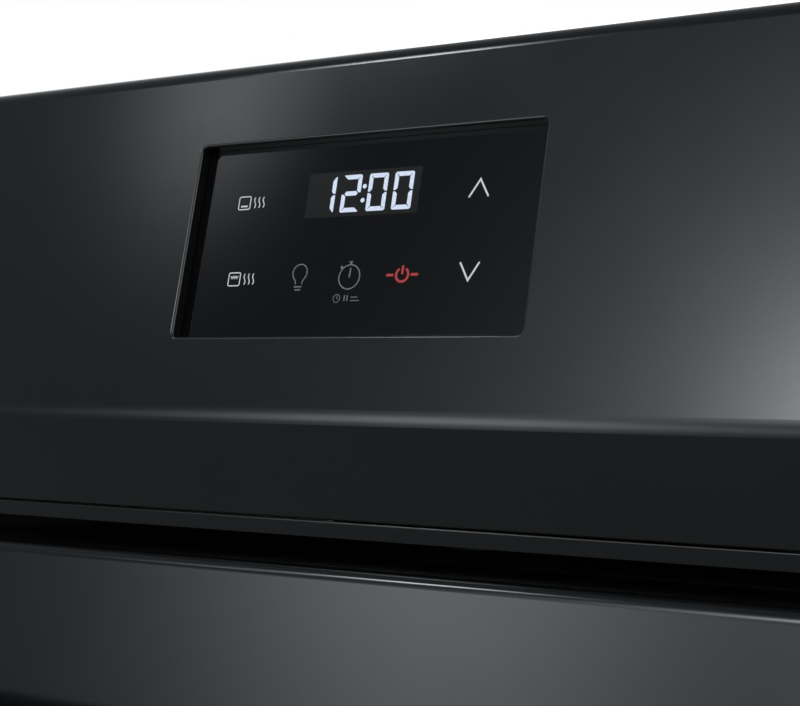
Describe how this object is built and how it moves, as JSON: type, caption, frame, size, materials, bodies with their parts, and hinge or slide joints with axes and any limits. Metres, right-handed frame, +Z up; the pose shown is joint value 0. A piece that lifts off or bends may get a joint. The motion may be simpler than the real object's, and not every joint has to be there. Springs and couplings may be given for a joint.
{
  "type": "wall oven",
  "caption": "Built-in electric wall oven with a leaning touch-control fascia, drop-down windowed door, sliding racks and an enamelled cavity.",
  "frame": {"origin": "middle of the base's underside, in the plane of the cabinet face", "axes": "+Z up, -Y towards the room, +X to the right seen from the room"},
  "size_m": [0.606, 0.6786, 0.7356],
  "materials": {
    "casing_steel": "plain galvanised sheet",
    "black_enamel": "smooth semi-gloss black paint",
    "cavity_enamel": "glossy speckled oven enamel",
    "mineral_wool": "matted fibre blanket",
    "woven_seal": "woven heat-proof sleeve",
    "element_sheath": "dark oxidised sheath",
    "bright_steel": "bright steel",
    "clear_glass": "clear polished glass",
    "dark_glass": "dark tinted polished glass",
    "fan_aluminium": "plain mill finish",
    "motor_iron": "varnished laminations",
    "black_plastic": "fine matt moulding",
    "switch_plastic": "plain moulding",
    "board_laminate": "green lacquered board",
    "wire_sleeve": "heat-resistant sleeving",
    "handle_black": "satin black paint",
    "hinge_steel": "zinc plated",
    "rack_chrome": "bright nickel-chrome wire"
  },
  "bodies": {
    "oven": {"side_panel_left": "casing_steel", "side_panel_right": "casing_steel", "back_panel": "casing_steel", "top_cover": "casing_steel", "base_pan": "casing_steel", "front_frame": "black_enamel", "side_trim_left": "black_enamel", "side_trim_right": "black_enamel", "bottom_trim": "black_enamel", "oven_liner": "cavity_enamel", "insulation_wrap": "mineral_wool", "door_gasket": "woven_seal", "bake_element": "element_sheath", "broil_element": "element_sheath", "temperature_sensor": "bright_steel", "lamp_housing": "bright_steel", "lamp_bulb": "clear_glass", "lamp_lens": "clear_glass", "oven_vent_tube": "casing_steel", "air_duct": "black_enamel", "blower_housing": "casing_steel", "blower_motor": "motor_iron", "control_fascia": "black_enamel", "fascia_strip": "black_enamel", "fascia_bracket_left": "casing_steel", "fascia_bracket_right": "casing_steel", "control_carrier": "black_plastic", "control_glass": "dark_glass", "display_module": "black_plastic", "control_board": "board_laminate", "power_board": "board_laminate", "junction_box": "casing_steel", "terminal_block": "black_plastic", "thermal_cutout": "bright_steel", "wire_harness": "wire_sleeve", "door_switch_body": "black_plastic", "hinge_receiver_left": "hinge_steel", "hinge_receiver_right": "hinge_steel", "hinge_claw_left": "hinge_steel", "hinge_claw_right": "hinge_steel", "casing_screws": "bright_steel"},
    "door": {"door_front_panel": "black_enamel", "door_liner": "cavity_enamel", "door_insulation": "mineral_wool", "window_glass_outer": "dark_glass", "window_glass_middle": "clear_glass", "window_glass_inner": "clear_glass", "window_pack_frame": "casing_steel", "handle_bar": "handle_black", "handle_posts": "handle_black", "hinge_channel_left": "hinge_steel", "hinge_channel_right": "hinge_steel", "hinge_pins": "hinge_steel", "door_screws": "bright_steel"},
    "rack_upper": {"rack_upper": "rack_chrome"},
    "rack_lower": {"rack_lower": "rack_chrome"},
    "blower_wheel": {"blower_wheel": "fan_aluminium"},
    "switch_plunger": {"door_switch_plunger": "switch_plastic"}
  },
  "joints": [
    {"name": "door_hinge", "type": "hinge", "parent": "oven", "child": "door", "pos_m": [0, -0.032, 0.082], "axis": [1, 0, 0], "range_deg": [0, 90], "stiffness_Nm_per_rad": 12, "springref_deg": -8.59},
    {"name": "rack_upper_slide", "type": "slide", "parent": "oven", "child": "rack_upper", "axis": [0, -1, 0], "range_m": [0, 0.26]},
    {"name": "rack_lower_slide", "type": "slide", "parent": "oven", "child": "rack_lower", "axis": [0, -1, 0], "range_m": [0, 0.2]},
    {"name": "blower_spin", "type": "hinge", "parent": "oven", "child": "blower_wheel", "pos_m": [0, 0.15, 0.614], "axis": [1, 0, 0], "continuous": true},
    {"name": "switch_plunger_slide", "type": "slide", "parent": "oven", "child": "switch_plunger", "axis": [0, -1, 0], "range_m": [0, 0.006]}
  ],
  "couplings": [
    {"joint": "rack_upper_slide", "follows": "door_hinge", "m_per_rad": 0.16552},
    {"joint": "rack_lower_slide", "follows": "door_hinge", "m_per_rad": 0.12732},
    {"joint": "switch_plunger_slide", "follows": "door_hinge", "m_per_rad": 0.0038197}
  ]
}
